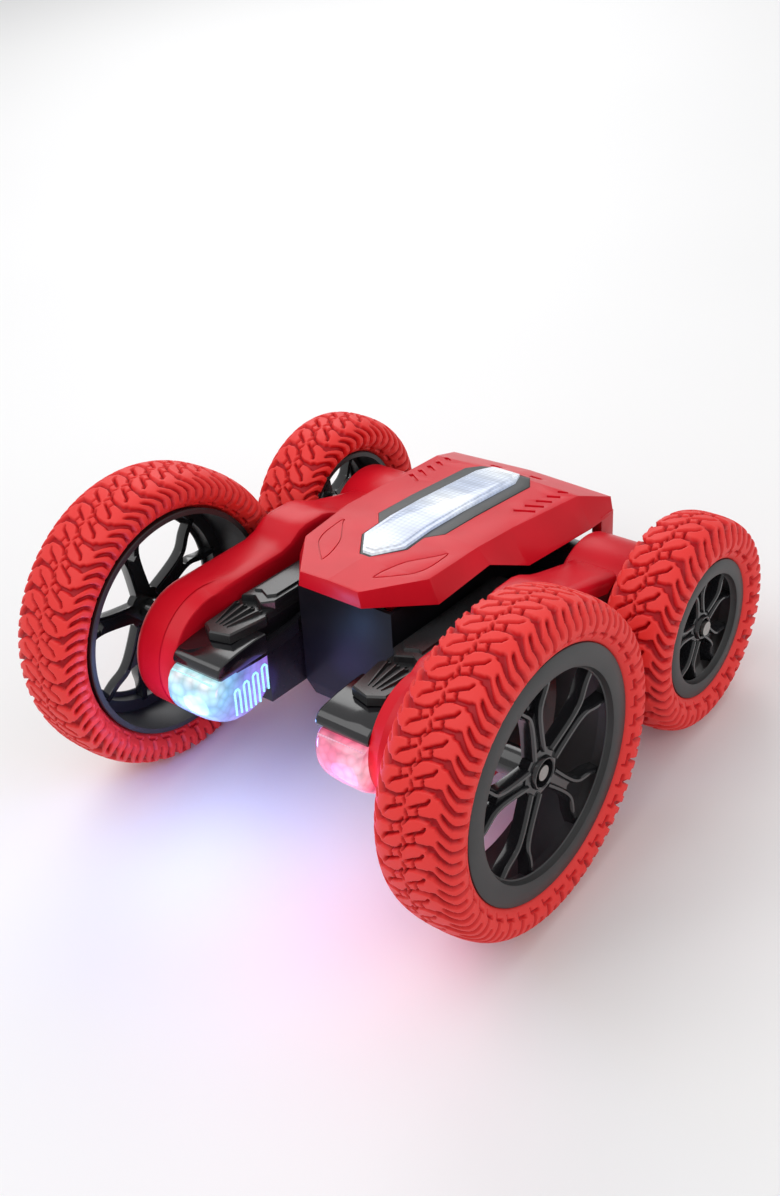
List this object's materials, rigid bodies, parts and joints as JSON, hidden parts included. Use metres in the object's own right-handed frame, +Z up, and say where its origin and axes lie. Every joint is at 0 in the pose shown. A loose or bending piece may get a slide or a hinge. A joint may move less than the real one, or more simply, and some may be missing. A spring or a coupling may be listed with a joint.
{
  "type": "toy stunt car",
  "caption": "Remote-control stunt car with large front wheels and small rear wheels on two side arms that swing about the rear axle under a faceted hood with a roof lamp.",
  "frame": {"origin": "middle of the footprint, on the floor under the tyres", "axes": "+X to the driver's left, +Y to the rear, +Z up; the car faces -Y"},
  "size_m": [0.1872, 0.1916, 0.11],
  "materials": {
    "body_red": "satin-gloss moulded plastic",
    "tyre_red": "matt soft plastic with moulded tread",
    "rim_black": "satin moulded plastic",
    "gloss_black": "polished moulded plastic",
    "chassis_black": "fine-grained moulded plastic",
    "clear_lens": "clear moulded plastic with prisms",
    "steel": "plated",
    "brass": "turned",
    "circuit_board": "solder-masked board",
    "gear_white": "natural nylon",
    "cell_wrap": "shrink sleeve"
  },
  "bodies": {
    "chassis": {"hood": "body_red", "lamp_bezel": "gloss_black", "lamp_lens": "clear_lens", "lamp_board": "circuit_board", "tray": "chassis_black", "battery_door": "chassis_black", "battery_pack": "cell_wrap", "control_board": "circuit_board", "switch_housing": "chassis_black", "pivot_tube": "steel", "chassis_screws": "steel"},
    "switch": {"switch_knob": "chassis_black"},
    "left_arm": {"left_arm_shell": "body_red", "left_arm_cover": "chassis_black", "left_axle_bushes": "brass", "left_arm_screws": "steel", "left_step_plate": "gloss_black", "left_bumper": "gloss_black", "left_headlight_lens": "clear_lens", "left_headlight_board": "circuit_board", "left_drive_motor": "steel"},
    "left_front_wheel": {"left_front_tyre": "tyre_red", "left_front_rim": "rim_black", "left_front_axle": "steel", "left_front_hub_screw": "steel", "left_front_axle_gear": "gear_white"},
    "left_rear_wheel": {"left_rear_tyre": "tyre_red", "left_rear_rim": "rim_black", "left_rear_axle": "steel", "left_rear_hub_screw": "steel", "left_rear_axle_gear": "gear_white"},
    "left_front_idler": {"left_front_idler": "gear_white"},
    "left_middle_idler": {"left_middle_idler": "gear_white"},
    "left_rear_idler": {"left_rear_idler": "gear_white"},
    "left_reduction_gear": {"left_reduction_gear": "gear_white"},
    "left_motor_pinion": {"left_motor_pinion": "brass"},
    "right_arm": {"right_arm_shell": "body_red", "right_arm_cover": "chassis_black", "right_axle_bushes": "brass", "right_arm_screws": "steel", "right_step_plate": "gloss_black", "right_bumper": "gloss_black", "right_headlight_lens": "clear_lens", "right_headlight_board": "circuit_board", "right_drive_motor": "steel"},
    "right_front_wheel": {"right_front_tyre": "tyre_red", "right_front_rim": "rim_black", "right_front_axle": "steel", "right_front_hub_screw": "steel", "right_front_axle_gear": "gear_white"},
    "right_rear_wheel": {"right_rear_tyre": "tyre_red", "right_rear_rim": "rim_black", "right_rear_axle": "steel", "right_rear_hub_screw": "steel", "right_rear_axle_gear": "gear_white"},
    "right_front_idler": {"right_front_idler": "gear_white"},
    "right_middle_idler": {"right_middle_idler": "gear_white"},
    "right_rear_idler": {"right_rear_idler": "gear_white"},
    "right_reduction_gear": {"right_reduction_gear": "gear_white"},
    "right_motor_pinion": {"right_motor_pinion": "brass"}
  },
  "joints": [
    {"name": "switch_slide", "type": "slide", "parent": "chassis", "child": "switch", "axis": [-1, 0, 0], "range_m": [0, 0.0024]},
    {"name": "left_arm_swing", "type": "hinge", "parent": "chassis", "child": "left_arm", "pos_m": [0, 0.05737, 0.0384], "axis": [1, 0, 0], "range_deg": [0, 70]},
    {"name": "left_front_wheel_spin", "type": "hinge", "parent": "left_arm", "child": "left_front_wheel", "pos_m": [0, -0.04077, 0.055], "axis": [1, 0, 0], "continuous": true},
    {"name": "left_rear_wheel_spin", "type": "hinge", "parent": "left_arm", "child": "left_rear_wheel", "pos_m": [0, 0.05737, 0.0384], "axis": [1, 0, 0], "continuous": true},
    {"name": "left_front_idler_spin", "type": "hinge", "parent": "left_arm", "child": "left_front_idler", "pos_m": [0, -0.01505, 0.05065], "axis": [1, 0, 0], "continuous": true},
    {"name": "left_middle_idler_spin", "type": "hinge", "parent": "left_arm", "child": "left_middle_idler", "pos_m": [0, 0.01027, 0.04637], "axis": [1, 0, 0], "continuous": true},
    {"name": "left_rear_idler_spin", "type": "hinge", "parent": "left_arm", "child": "left_rear_idler", "pos_m": [0, 0.0356, 0.04208], "axis": [1, 0, 0], "continuous": true},
    {"name": "left_reduction_gear_spin", "type": "hinge", "parent": "left_arm", "child": "left_reduction_gear", "pos_m": [0, 0.00466, 0.06229], "axis": [1, 0, 0], "continuous": true},
    {"name": "left_motor_pinion_spin", "type": "hinge", "parent": "left_arm", "child": "left_motor_pinion", "pos_m": [0, 0.00656, 0.05112], "axis": [1, 0, 0], "continuous": true},
    {"name": "right_arm_swing", "type": "hinge", "parent": "chassis", "child": "right_arm", "pos_m": [0, 0.05737, 0.0384], "axis": [1, 0, 0], "range_deg": [0, 70]},
    {"name": "right_front_wheel_spin", "type": "hinge", "parent": "right_arm", "child": "right_front_wheel", "pos_m": [0, -0.04077, 0.055], "axis": [1, 0, 0], "continuous": true},
    {"name": "right_rear_wheel_spin", "type": "hinge", "parent": "right_arm", "child": "right_rear_wheel", "pos_m": [0, 0.05737, 0.0384], "axis": [1, 0, 0], "continuous": true},
    {"name": "right_front_idler_spin", "type": "hinge", "parent": "right_arm", "child": "right_front_idler", "pos_m": [0, -0.01505, 0.05065], "axis": [1, 0, 0], "continuous": true},
    {"name": "right_middle_idler_spin", "type": "hinge", "parent": "right_arm", "child": "right_middle_idler", "pos_m": [0, 0.01027, 0.04637], "axis": [1, 0, 0], "continuous": true},
    {"name": "right_rear_idler_spin", "type": "hinge", "parent": "right_arm", "child": "right_rear_idler", "pos_m": [0, 0.0356, 0.04208], "axis": [1, 0, 0], "continuous": true},
    {"name": "right_reduction_gear_spin", "type": "hinge", "parent": "right_arm", "child": "right_reduction_gear", "pos_m": [0, 0.00466, 0.06229], "axis": [1, 0, 0], "continuous": true},
    {"name": "right_motor_pinion_spin", "type": "hinge", "parent": "right_arm", "child": "right_motor_pinion", "pos_m": [0, 0.00656, 0.05112], "axis": [1, 0, 0], "continuous": true}
  ],
  "couplings": [
    {"joint": "left_rear_wheel_spin", "follows": "left_front_wheel_spin", "ratio": 1.4348},
    {"joint": "left_front_idler_spin", "follows": "left_front_wheel_spin", "ratio": -1.0312},
    {"joint": "left_middle_idler_spin", "follows": "left_front_wheel_spin", "ratio": 1.0312},
    {"joint": "left_rear_idler_spin", "follows": "left_front_wheel_spin", "ratio": -1.0312},
    {"joint": "left_reduction_gear_spin", "follows": "left_front_wheel_spin", "ratio": -3.3},
    {"joint": "left_motor_pinion_spin", "follows": "left_front_wheel_spin", "ratio": 13.2},
    {"joint": "right_rear_wheel_spin", "follows": "right_front_wheel_spin", "ratio": 1.4348},
    {"joint": "right_front_idler_spin", "follows": "right_front_wheel_spin", "ratio": -1.0312},
    {"joint": "right_middle_idler_spin", "follows": "right_front_wheel_spin", "ratio": 1.0312},
    {"joint": "right_rear_idler_spin", "follows": "right_front_wheel_spin", "ratio": -1.0312},
    {"joint": "right_reduction_gear_spin", "follows": "right_front_wheel_spin", "ratio": -3.3},
    {"joint": "right_motor_pinion_spin", "follows": "right_front_wheel_spin", "ratio": 13.2}
  ]
}
